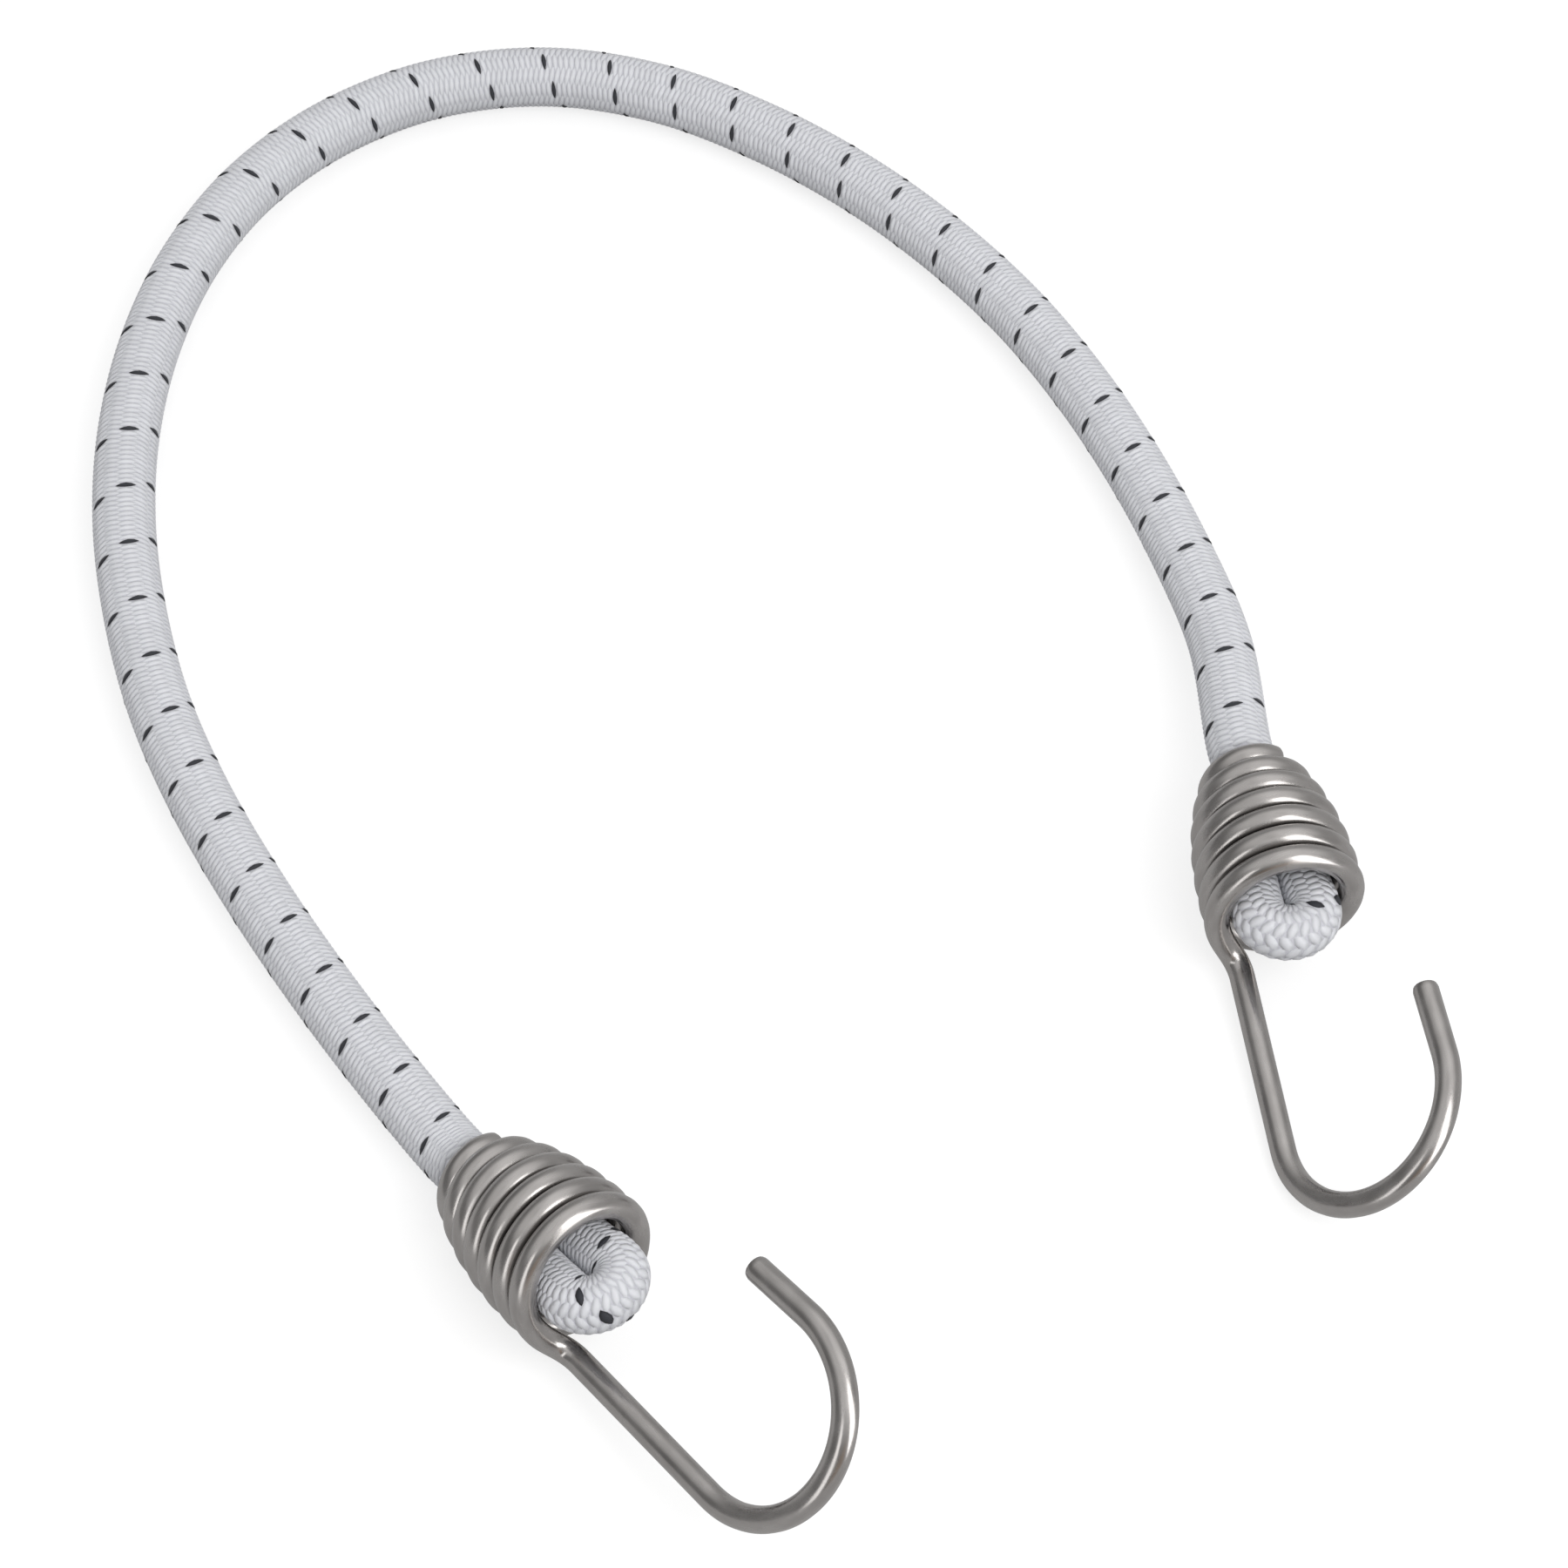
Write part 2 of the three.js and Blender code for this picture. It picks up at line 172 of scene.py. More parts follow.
# %% A tree that is built one formula at a time
class Tree:
    """A node tree. What its methods take is either a plain value or the output of another node."""

    def __init__(self, group):
        self.group = group

    def plug(self, value, socket):
        if isinstance(value, bpy.types.NodeSocket):
            self.group.links.new(value, socket)
        else:
            socket.default_value = value

    def feed(self, node, values):
        """Plugs the values into the inputs of those names."""
        sockets = {s.identifier.replace(" ", "_").lower(): s for s in node.inputs}
        for name, value in values.items():
            self.plug(value, sockets[name])

    def add(self, kind, output=0, settings=(), **values):
        node = self.group.nodes.new(kind)
        for key, value in dict(settings).items():
            setattr(node, key, value)
        self.feed(node, values)
        return node.outputs[output]

    def listed(self, kind, operation, values):
        """A node of mathematics, with the values plugged into its inputs in order."""
        node = self.group.nodes.new(kind)
        node.operation = operation
        for value, socket in zip(values, node.inputs):
            self.plug(value, socket)
        return node.outputs[0]

    def math(self, operation, *values):
        return self.listed("ShaderNodeMath", operation, values)

    def vector(self, operation, *values):
        return self.listed("ShaderNodeVectorMath", operation, values)

    def minus(self, a, b):
        return self.math("SUBTRACT", a, b)

    def total(self, *values):
        result = values[0]
        for value in values[1:]:
            result = self.math("ADD", result, value)
        return result

    def product(self, *values):
        result = values[0]
        for value in values[1:]:
            result = self.math("MULTIPLY", result, value)
        return result

    def scaled(self, vector, amount):
        return self.add("ShaderNodeVectorMath", settings={"operation": "SCALE"}, vector=vector, scale=amount)

    def point(self, x, y, z):
        return self.add("ShaderNodeCombineXYZ", x=x, y=y, z=z)

    def parts(self, vector):
        """The X, Y and Z of a vector."""
        node = self.group.nodes.new("ShaderNodeSeparateXYZ")
        self.plug(vector, node.inputs[0])
        return node.outputs

    def between(self, value, low, high, at_low, at_high, easing="LINEAR"):
        """Goes from one number to another while the value goes from low to high, and stays there."""
        return self.add("ShaderNodeMapRange", settings={"interpolation_type": easing}, value=value,
                        from_min=low, from_max=high, to_min=at_low, to_max=at_high)

print("tree helper ready")

# %% [markdown]
# ## Growing a mesh
# A geometry tree has named inputs, so one tree serves both ends and every set of yarns. It runs as a
# modifier on an empty object, and what it grew is kept as a plain mesh. Most trees follow a line that
# is drawn with Python. Such a line is a curve object with a radius and a tilt at each point, and it
# is taken away again at the end.

# %% Geometry trees, and the lines that they follow
class Growth(Tree):
    """A geometry node tree with named inputs."""

    def __init__(self, name, inputs):
        super().__init__(bpy.data.node_groups.new(name, "GeometryNodeTree"))
        sockets = self.group.interface
        for label, kind in inputs.items():
            sockets.new_socket(label, in_out="INPUT", socket_type="NodeSocket" + kind)
        sockets.new_socket("Geometry", in_out="OUTPUT", socket_type="NodeSocketGeometry")
        self.inputs = self.group.nodes.new("NodeGroupInput").outputs

    def keep(self, geometry, name, value, kind="FLOAT"):
        """Stores a value on each point of the geometry."""
        return self.add("GeometryNodeStoreNamedAttribute", geometry=geometry, name=name, value=value,
                        settings={"data_type": kind, "domain": "POINT"})

    def close(self, skin, finish):
        """Hands out the skin, shaded smooth and with its finish."""
        skin = self.add("GeometryNodeSetShadeSmooth", geometry=skin, shade_smooth=True)
        skin = self.add("GeometryNodeRealizeInstances", geometry=skin)
        skin = self.add("GeometryNodeSetMaterial", geometry=skin, material=finish)
        self.plug(skin, self.group.nodes.new("NodeGroupOutput").inputs[0])

def grow(name, tree, **inputs):
    """Runs a tree on an empty object and keeps the result as one plain mesh object."""
    seed = bpy.data.objects.new(name + "_seed", bpy.data.meshes.new(name + "_seed"))
    bpy.context.scene.collection.objects.link(seed)
    modifier = seed.modifiers.new("grow", "NODES")
    modifier.node_group = tree.group
    for socket in tree.group.interface.items_tree:
        key = socket.name.replace(" ", "_").lower()
        if socket.in_out == "INPUT" and key in inputs:
            modifier[socket.identifier] = inputs[key]
    mesh = bpy.data.meshes.new_from_object(seed.evaluated_get(bpy.context.evaluated_depsgraph_get()))
    mesh.name = name
    bpy.data.objects.remove(seed)
    piece = bpy.data.objects.new(name, mesh)
    bpy.context.scene.collection.objects.link(piece)
    mesh.calc_loop_triangles()
    print(name + ":", len(mesh.vertices), "points,", len(mesh.loop_triangles), "triangles")
    return piece

guides = []

def guide_curve(name, line, radii=None, tilts=None, twist="Z_UP"):
    """An open curve for a tree to follow; it is removed again before the end."""
    data = bpy.data.curves.new(name, "CURVE")
    data.dimensions = "3D"
    data.twist_mode = twist
    spline = data.splines.new("POLY")
    spline.points.add(len(line) - 1)
    for i, (x, y, z) in enumerate(line):
        spline.points[i].co = (x, y, z, 1)
        spline.points[i].radius = 1 if radii is None else radii[i]
        spline.points[i].tilt = 0 if tilts is None else tilts[i]
    curve = bpy.data.objects.new(name, data)
    bpy.context.scene.collection.objects.link(curve)
    guides.append(curve)
    return curve

print("growing helpers ready")

# %% [markdown]
# ## Building a finish
# A finish is one shader with a few patterns that feed it. What is the same all over the piece is set
# as a number on the shader itself, and only what changes from place to place gets nodes.

# %% A material that is built one pattern at a time
class Finish(Tree):
    """A material whose shader takes numbers and patterns by name."""

    def __init__(self, name, **values):
        self.material = bpy.data.materials.new(name)
        self.material.use_nodes = True
        super().__init__(self.material.node_tree)
        self.shade(**values)

    def shade(self, **values):
        self.feed(self.group.nodes["Principled BSDF"], values)

    def attribute(self, name, output="Fac"):
        return self.add("ShaderNodeAttribute", output, {"attribute_name": name})

    def noise(self, place, scale, detail, stretch=None):
        if stretch is not None:
            place = self.add("ShaderNodeMapping", vector=place, scale=stretch)
        return self.add("ShaderNodeTexNoise", vector=place, scale=scale, detail=detail)

    def ramp(self, value, low, high, low_at=0, high_at=1):
        """Goes from one colour to another while the value goes between the two marks."""
        node = self.group.nodes.new("ShaderNodeValToRGB")
        self.plug(value, node.inputs[0])
        for stop, colour, mark in zip(node.color_ramp.elements, (low, high), (low_at, high_at)):
            stop.color = (*colour, 1)
            stop.position = mark
        return node.outputs[0]

    def darkened(self, colour, share):
        return self.add("ShaderNodeMix", "Result", {"data_type": "RGBA", "blend_type": "MULTIPLY"},
                        factor_float=1, a_color=colour, b_color=share)

    def bump(self, height, strength, distance):
        return self.add("ShaderNodeBump", height=height, strength=strength, distance=distance)

print("finish helper ready")

# %% [markdown]
# ## The finish of the braid
# The braid is polyester yarn: white with a cool tinge and softly shiny along each stitch. Its colour
# gets darker where a stitch dips at its edges, between the stitches: that is painted shade. Each
# stitch carries its own coordinates, so the fine filaments run along the yarn wherever it goes. A
# little difference from stitch to stitch keeps it from looking printed. The tracer yarn is the same
# yarn dyed black. What shows between the stitches is a fuzzy texture on a grey that is painted shade
# over the white yarns below.

# %% Yarn materials
def yarn_material(name, crown, painted_edge_shade, roughness, sheen):
    """Filaments along the stitch, painted shade at its low edges and a small change of tone."""
    yarn = Finish(name, roughness=roughness, sheen_weight=sheen, sheen_roughness=0.4,
                  specular_ior_level=0.35)
    in_stitch = yarn.attribute("yarn", "Vector")
    height = yarn.parts(in_stitch)[2]
    # The colour runs from the painted shade at the stitch's low edges up to the yarn's own colour on its
    # top.
    colour = yarn.ramp(height, painted_edge_shade, crown, low_at=0.1, high_at=0.75)
    filaments = yarn.noise(in_stitch, scale=2.2, detail=2, stretch=(0.7, 5, 5))
    yarn.shade(base_color=yarn.darkened(colour, yarn.attribute("tone")),
               normal=yarn.bump(filaments, strength=0.35, distance=0.06 * MM))
    return yarn.material

# The second colour of each yarn is the painted shade at the low edges of its stitches.
white_yarn = yarn_material("white_yarn", (0.83, 0.84, 0.875), (0.70, 0.71, 0.75), 0.45, 0.2)
black_yarn = yarn_material("black_yarn", (0.035, 0.037, 0.045), (0.012, 0.012, 0.015), 0.6, 0.1)

# The tube's grey is darker than the yarn's own white: painted shade for the yarns under the stitches. The
# fine noise is a fuzzy texture.
fluff_and_shade = Finish("under_braid", roughness=0.8)
fluff_pattern = fluff_and_shade.noise(fluff_and_shade.add("ShaderNodeTexCoord", "Object"), scale=900, detail=2)
fluff_and_shade.shade(base_color=fluff_and_shade.ramp(fluff_pattern, (0.60, 0.60, 0.65), (0.70, 0.70, 0.75)))
under_braid = fluff_and_shade.material
print("yarns:", white_yarn.name, black_yarn.name, under_braid.name)

# %% [markdown]
# ## How the braid works
# Twenty-four yarns cover the cord. Twelve run round it as right-hand screws and twelve as left-hand
# screws, and each passes over two yarns of the other kind and then under two. What shows of a yarn is
# a short lens-shaped stitch each time it is on top. The stitches stand in twelve columns along the
# cord, right-hand and left-hand ones in turn, and in a column they lie a twelfth of the lead apart.
# A picture of a weave on a smooth tube would leave the outline straight, so every stitch is made.
#
# The tree lays the stitches out on a flat sheet first: X is the angle round the cord, Y the distance
# along it and Z the height over it. One stitch is a ball that is drawn out into a lens, and its ends
# dip under its neighbours.

# %% One stitch
YARNS = 12  # that run the same way; a yarn goes once round the cord in as many rows
COLUMNS = 6  # of stitches that run the same way

braid = Growth("wrapped_stitches", {
    "Line": "Object", "Rows": "Int", "First Row": "Float", "First Column": "Float",
    "Hand": "Float", "Only Tracer": "Float", "Tracer Yarn": "Float",
    "Half Arc": "Float", "Half Width": "Float", "Crown": "Float", "Dip": "Float",
    "Slant": "Float", "Seat": "Float", "Yarn": "Material",
})
b = braid.inputs

ball = braid.add("GeometryNodeMeshUVSphere", segments=6, rings=6, radius=1.0)
ball_x, ball_y, ball_z = braid.parts(braid.add("GeometryNodeInputPosition"))
ends = braid.product(ball_z, ball_z)
lens = braid.math("SQRT", braid.math("MAXIMUM", braid.minus(1, ends), 0))
across = braid.product(ball_y, lens, -1)
height = braid.product(ball_x, lens)
stitch = braid.keep(ball, "yarn", braid.point(ball_z, across, height), kind="FLOAT_VECTOR")
stitch = braid.add("GeometryNodeSetPosition", geometry=stitch, position=braid.point(
    braid.product(ball_z, b["Half Arc"]),
    braid.total(braid.product(across, b["Half Width"]),
                braid.product(ball_z, b["Hand"], b["Slant"])),
    braid.minus(braid.product(height, b["Crown"]), braid.product(ends, b["Dip"])),
))
print("stitch:", len(braid.group.nodes), "nodes")

# %% [markdown]
# ## The sheet of stitches
# The sheet has one point for each stitch, and a row takes one unit along Y. On its way round the
# cord a yarn comes up two rows farther on in each next column, and from that the tree works out which
# yarn a stitch belongs to. So the tracer can be left out of the white stitches, or grown alone.

# %% Lay the stitches out in rows and columns
grid = braid.add("GeometryNodePoints", count=braid.product(b["Rows"], COLUMNS), radius=0.001)
index = braid.add("GeometryNodeInputIndex")
column = braid.math("MODULO", index, COLUMNS)
row = braid.math("FLOOR", braid.math("DIVIDE", index, COLUMNS))
yarn_number = braid.math("FLOORED_MODULO", braid.minus(
    row, braid.total(braid.product(column, 2), b["Tracer Yarn"])), YARNS)
is_tracer = braid.math("COMPARE", yarn_number, 0, 0.1)
unwanted = braid.math("COMPARE", is_tracer, braid.minus(1, b["Only Tracer"]), 0.1)
grid = braid.add("GeometryNodeSetPosition", geometry=grid, position=braid.point(
    braid.total(braid.product(column, 2 * math.pi / COLUMNS), b["First Column"]),
    braid.total(row, b["First Row"]), 0.0))
tone = braid.add("FunctionNodeRandomValue", 1, {"data_type": "FLOAT"}, min_001=0.93, max_001=1.0, seed=7)
grid = braid.keep(grid, "tone", tone)
grid = braid.add("GeometryNodeDeleteGeometry", geometry=grid, selection=unwanted,
                 settings={"domain": "POINT"})
sheet = braid.add("GeometryNodeRealizeInstances", geometry=braid.add(
    "GeometryNodeInstanceOnPoints", points=grid, instance=stitch))
print("sheet of stitches:", len(braid.group.nodes), "nodes")

# %% [markdown]
# ## Wrapping the sheet round a line
# Every point of the sheet goes to its place round the line: it stands out from the middle by the
# line's radius and its own height, at its own angle. That way a stitch bends with the cord, packs
# tight inside a bend and opens on its outside, as yarn does. The line has one point for each row.

# %% Wrap the sheet
line = braid.add("GeometryNodeObjectInfo", 4, object=b["Line"])
angle, along, lift = braid.parts(braid.add("GeometryNodeInputPosition"))
before = braid.math("FLOOR", along)

def on_line(field, kind):
    """What the line has at this place, blended between the points on either side."""
    here, next_one = (
        braid.add("GeometryNodeSampleIndex", geometry=line, value=field, index=nearby,
                  settings={"data_type": kind, "domain": "POINT", "clamp": True})
        for nearby in (before, braid.total(before, 1)))
    step = braid.vector("SUBTRACT", next_one, here)
    return braid.vector("ADD", here, braid.scaled(step, braid.minus(along, before)))

middle_point = on_line(braid.add("GeometryNodeInputPosition"), "FLOAT_VECTOR")
forward = on_line(braid.add("GeometryNodeInputTangent"), "FLOAT_VECTOR")
outward = on_line(braid.add("GeometryNodeInputNormal"), "FLOAT_VECTOR")
radius = braid.parts(on_line(braid.add("GeometryNodeInputRadius"), "FLOAT_VECTOR"))[0]
reach = braid.total(radius, b["Seat"], lift)
spoke = braid.vector(
    "ADD",
    braid.scaled(outward, braid.product(reach, braid.math("COSINE", angle))),
    braid.scaled(braid.vector("CROSS_PRODUCT", forward, outward),
                 braid.product(reach, braid.math("SINE", angle))))
wrapped = braid.add("GeometryNodeSetPosition", geometry=sheet,
                    position=braid.vector("ADD", middle_point, spoke))
braid.close(wrapped, b["Yarn"])
print("braid tree:", len(braid.group.nodes), "nodes")

# %% [markdown]
# ## The tube under the braid
# Between the stitches a little of the yarns below shows. A plain round tube just under the braid
# stands for them, and the cord's tube follows the middle line from coil to coil.

# %% A tree for a tube along a line
tube = Growth("round_tube", {
    "Line": "Object", "Sink": "Float", "Sides": "Int", "Finish": "Material",
})
t = tube.inputs
tube_line = tube.add("GeometryNodeObjectInfo", 4, object=t["Line"])
ring = tube.add("GeometryNodeCurvePrimitiveCircle", resolution=t["Sides"], radius=1.0)
skin = tube.add("GeometryNodeCurveToMesh", curve=tube_line, profile_curve=ring, fill_caps=True,
                scale=tube.minus(tube.add("GeometryNodeInputRadius"), t["Sink"]))
tube.close(skin, t["Finish"])
print("tube tree:", len(tube.group.nodes), "nodes")

# %% [markdown]
# ## The rows of the free cord
# A braid on a stretchy cord isn't quite even. Its yarns lie steeper where the cord was pulled, so the
# lead, in which a yarn goes once round, changes along the cord, and the columns wander a little. Both
# were read from the places of the tracer's marks, and the rows of stitches are set out by them. The
# first turn of each coil squeezes the cord to a thinner neck.

# %% Set out the rows and grow the cord's tube
BRAID_SPREAD = [  # distance along the cord, lead of a yarn there, angle of the first column
    (0, 8.4, -81), (60, 8.85, -82), (110, 9.45, -83), (145, 9.75, -80), (170, 9.6, -77),
    (205, 9.15, -77), (260, 9.05, -80), (310, 8.9, -84), (345, 9.25, -82), (380, 10.0, -80),
]
FIRST_ROW = 0.45 * MM  # its distance along the cord
NECK_ROOM = 2.9 * MM  # the radius to which the coil's first turn squeezes the cord
SQUEEZE_LENGTH = 1.6 * MM  # the length of cord over which that happens
TUBE = dict(sink=0.13 * MM, sides=24, finish=under_braid)

def rows_along(marks, line, spread, first):
    """Points on the line that are one row of stitches apart, with their distances."""
    places, leads = ([entry[i] * MM for entry in spread] for i in (0, 1))
    rows = [first - np.interp(0, places, leads) / YARNS]
    while rows[-1] < marks[-1]:
        rows.append(rows[-1] + np.interp(rows[-1], places, leads) / YARNS)
    rows = np.clip(rows, 0, marks[-1])
    return rows, np.stack([np.interp(rows, marks, line[:, i]) for i in range(3)], axis=1)

row_marks, row_points = rows_along(cord_marks, cord_line, BRAID_SPREAD, FIRST_ROW)
from_neck = np.minimum(row_marks, CORD_LENGTH - row_marks)
open_share = np.clip(from_neck / SQUEEZE_LENGTH, 0, 1)
cord_radii = NECK_ROOM + (CORD_DIAMETER / 2 - NECK_ROOM) * np.sin(open_share * math.pi / 2)
column_angles = np.interp(row_marks, [e[0] * MM for e in BRAID_SPREAD], [e[2] for e in BRAID_SPREAD])
cord_guide = guide_curve("cord_guide", row_points, cord_radii, tilts=np.radians(column_angles))
cord_tube = grow("cord_tube", tube, line=cord_guide, **TUBE)
print("cord:", len(row_points), "rows of stitches")

# %% [markdown]
# ## The braid on the free cord
# Right-hand and left-hand stitches are separate pieces, and the black tracer is a third: it takes
# the place of one of the twelve right-hand yarns. The left-hand columns stand half a column step
# round from the others and half a row along, because a yarn passes under halfway between two
# stitches.

# %% Weave the free cord
STITCH = dict(half_arc=math.radians(24.5), half_width=0.54, slant=0.31,
              crown=0.14 * MM, dip=0.07 * MM, seat=-0.13 * MM)
TRACER_STITCH = dict(half_arc=math.radians(19.5), half_width=0.47, slant=0.25,
                     crown=0.11 * MM, dip=0, seat=-0.08 * MM)
NO_TRACER = 0.5  # no yarn has this number
BARE_ROWS = 3  # at the two ends of a line, so that no stitch reaches past it

def weave(name, guide, tracer_yarn, **tracer_shape):
    """The three sets of stitches on one stretch of cord, whose guide has a point for each row."""
    rows = len(guide.data.splines[0].points) - BARE_ROWS
    common = {**STITCH, "line": guide, "rows": rows, "first_row": 1.0, "first_column": 0.0,
              "hand": 1.0, "tracer_yarn": tracer_yarn, "only_tracer": 0.0, "yarn": white_yarn}
    right = grow(name + "_right_hand_yarns", braid, **common)
    tracer = grow(name + "_tracer_yarn", braid,
                  **{**common, **TRACER_STITCH, **tracer_shape, "only_tracer": 1.0, "yarn": black_yarn})
    left = grow(name + "_left_hand_yarns", braid,
                **{**common, "hand": -1.0, "tracer_yarn": NO_TRACER, "first_row": 1.5,
                   "first_column": math.pi / COLUMNS})
    return [right, left, tracer]

cord_braid = weave("cord", cord_guide, tracer_yarn=9.0)
print("sets of stitches on the free cord:", len(cord_braid))

# %% [markdown]
# ## The line of a folded end
# Each end of the cord is threaded through the narrow end of its coil, turned back on itself at the
# mouth and drawn in until it jams. The fold shows in the mouth as a short U. Its line runs up from the
# neck, spreads to one side, goes round the half circle of the U and stops a few millimetres back
# inside, where the cut end can't be seen.

# %% Draw the fold's line in its own plane
FOLD_TURN = math.radians(126)  # of the plane of the fold round the coil's axis
FOLD_START = -22.92  # heights along the axis and radii, in millimetres
NECK_END = FOLD_START + 3.1
LEG_DEPTH = 5.5
TAIL_DEPTH = 6.5  # of the cut end
WIDENING_DEPTH = 3  # where the legs start to spread into the loop
LOOP_EASE = 1.5  # how softly they run into it
NECK_RADIUS_OF_FOLD = 2.6
COILED_RADIUS = 3.1
BULGED_RADIUS = 3.35

def pulled_curve(a, b, c, d, steps=40):
    """A smooth curve from a to d that is pulled towards the handles b and c."""
    s = np.linspace(0, 1, steps)[:, None]
    a, b, c, d = (np.array(p, float) for p in (a, b, c, d))
    return a * (1 - s)**3 + 3 * b * s * (1 - s)**2 + 3 * c * s * s * (1 - s) + d * s**3

def fold_line(loop_reach):
    """The fold's middle line, from the neck to the cord's cut end."""
    x, wide = COILED_RADIUS, BULGED_RADIUS
    pull = (-LEG_DEPTH - NECK_END) / 2
    spread = pulled_curve((0, 0, NECK_END), (0, 0, NECK_END + pull),
                          (-x, 0, -LEG_DEPTH - pull), (-x, 0, -LEG_DEPTH))
    turned = np.linspace(0, math.pi, 60)
    loop = np.stack([-wide * np.cos(turned), 0 * turned,
                     loop_reach - wide + wide * np.sin(turned)], axis=1)
    foot = loop[0, 2] - LOOP_EASE
    out = pulled_curve(spread[-1], (-x, 0, -WIDENING_DEPTH), (-wide, 0, foot), loop[0])
    back = pulled_curve(loop[-1], (wide, 0, foot), (x, 0, -WIDENING_DEPTH), (x, 0, -TAIL_DEPTH))
    return np.concatenate([[(0, 0, FOLD_START)], spread, out[1:], loop[1:], back[1:]])

print("points of a fold's line:", len(fold_line(loop_reach=4)))

# %% [markdown]
# ## The folded ends
# The tube and the braid follow the fold's line like any other, so the stitches crowd inside the U and
# open like scales on its outside without any special case. The lead, the first row and the twist set
# where the black marks of the tracer come up on each fold.

# %% Fold the ends back in the coils
UNTWISTED_ROW = 31  # from which the twist of a fold is counted both ways

def fold_back(side, end, loop_reach, lead, first_row, tracer_yarn, first_column, twist_per_row):
    """The tube and the stitches of the fold in one coil."""
    line, marks = evenly(fold_line(loop_reach) * MM, 0.1 * MM)
    rows, points = rows_along(marks, line, [(0, lead)], first_row * MM)
    first_leg = rows < marks[-1] / 2
    depth = np.where(first_leg, points[:, 2], np.maximum(points[:, 2], -LEG_DEPTH * MM)) / MM
    # The cord's radius grows from the neck to the mouth
    radii = np.interp(depth, [NECK_END, -LEG_DEPTH, -2.5, 0],
                      [NECK_RADIUS_OF_FOLD, COILED_RADIUS, COILED_RADIUS + 0.08, BULGED_RADIUS]) * MM
    in_coil = end @ Matrix.Rotation(FOLD_TURN, 4, "Z")
    world = np.array([in_coil @ Vector(p) for p in points])
    twist = twist_per_row * (np.arange(len(world)) - UNTWISTED_ROW)
    guide = guide_curve(side + "_fold_guide", world, radii, twist="MINIMUM",
                        tilts=np.radians(first_column + twist))
    print(side, "fold:", round(marks[-1] * 1000, 1), "mm,", len(world), "rows")
    return (grow(side + "_fold_tube", tube, line=guide, **TUBE),
            weave(side + "_fold", guide, tracer_yarn, half_arc=math.radians(21), half_width=0.56))

left_fold, left_fold_yarns = fold_back(
    "left", left_end, 4.4, lead=9.0, first_row=0.775, tracer_yarn=1.0, first_column=5, twist_per_row=-1.6)
right_fold, right_fold_yarns = fold_back(
    "right", right_end, 3.1, lead=11.7, first_row=1.3, tracer_yarn=11.0, first_column=36, twist_per_row=-0.6)

# %% [markdown]
# ## The finish of the wire
# The hooks are drawn steel wire with a thin worn plating: a warm grey metal with fine lines along the
# wire from the drawing die, and small dull patches. The lines need coordinates that follow the wire,
# so the tree below stores the distance along it and the place round it on every point. The turns of
# the real coil touch, and the grooves between them are dark. Here a hair of room is left between the
# turns, and the flanks that face it get a painted shade: their colour is darkened there.

# %% Steel wire material
steel_finish = Finish("drawn_steel_wire", metallic=1)
section_x, section_y, _ = steel_finish.parts(steel_finish.attribute("section", "Vector"))
on_wire = steel_finish.point(section_x, section_y, steel_finish.attribute("along"))
lines = steel_finish.noise(on_wire, scale=1, detail=3, stretch=(9, 9, 60))
patches = steel_finish.noise(on_wire, scale=1, detail=4, stretch=(1.2, 1.2, 260))
metal = steel_finish.ramp(patches, (0.385, 0.367, 0.355), (0.48, 0.46, 0.447), low_at=0.3, high_at=0.7)
# Painted shade: the colour is darkened on the flanks that face the next turn.
painted_flank_shade = steel_finish.between(steel_finish.attribute("gap"), 0.76, 0.98, 1, 0.4)
steel_finish.shade(base_color=steel_finish.darkened(metal, painted_flank_shade),
                   roughness=steel_finish.between(patches, 0.3, 0.7, 0.2, 0.32),
                   normal=steel_finish.bump(lines, strength=0.11, distance=0.05 * MM))
steel = steel_finish.material
print("wire finish:", steel.name)

# %% [markdown]
# ## The hooks
# A hook is one unbroken wire. Its coil follows a rule: the angle grows evenly, the radius grows from
# the neck to the mouth along a rounded profile, and the height climbs one pitch in each turn. At the
# mouth the wire kinks outwards, runs along as the shank, turns back in a round bend and ends in a
# straight tip. The part past the mouth is drawn as a line here. Only the end of the coil is needed
# for that, to start the kink in the wire's own direction.

# %% The drawn part of the wire, from the mouth to the tip
COIL_TURNS = 6.38
NECK_RADIUS = 4.4 * MM
MOUTH_RADIUS = 8.36 * MM
FULLNESS = 2.7  # how round the coil's profile is
COIL_PITCH = 3.28 * MM
LEAVE_ANGLE = math.radians(-50)  # where the wire leaves the coil
KINK_PULL = 4 * MM  # of the curve that joins the coil to the shank, at either end
SHANK_LENGTH = 24.2 * MM
SHANK_LEAN = math.radians(5.5)  # away from the coil's axis
SHANK_SLANT = math.radians(3.5)  # to one side
BEND_RADIUS = 12.2 * MM
BEND_TURN = math.radians(183)
BEND_ROLL = math.radians(9.4)  # of the bend's plane round the shank
TIP_LENGTH = 8.9 * MM

def coil_point(t):
    """A point on the coil's middle line, where t goes from 0 at the neck to 1 at the mouth."""
    angle = LEAVE_ANGLE - 2 * math.pi * COIL_TURNS * (1 - t)
    radius = NECK_RADIUS + (MOUTH_RADIUS - NECK_RADIUS) * (1 - max(1 - t, 0) ** FULLNESS)
    return np.array((radius * math.cos(angle), radius * math.sin(angle),
                     COIL_PITCH * angle / (2 * math.pi)))

def unit(vector):
    return np.array(vector, float) / np.linalg.norm(vector)

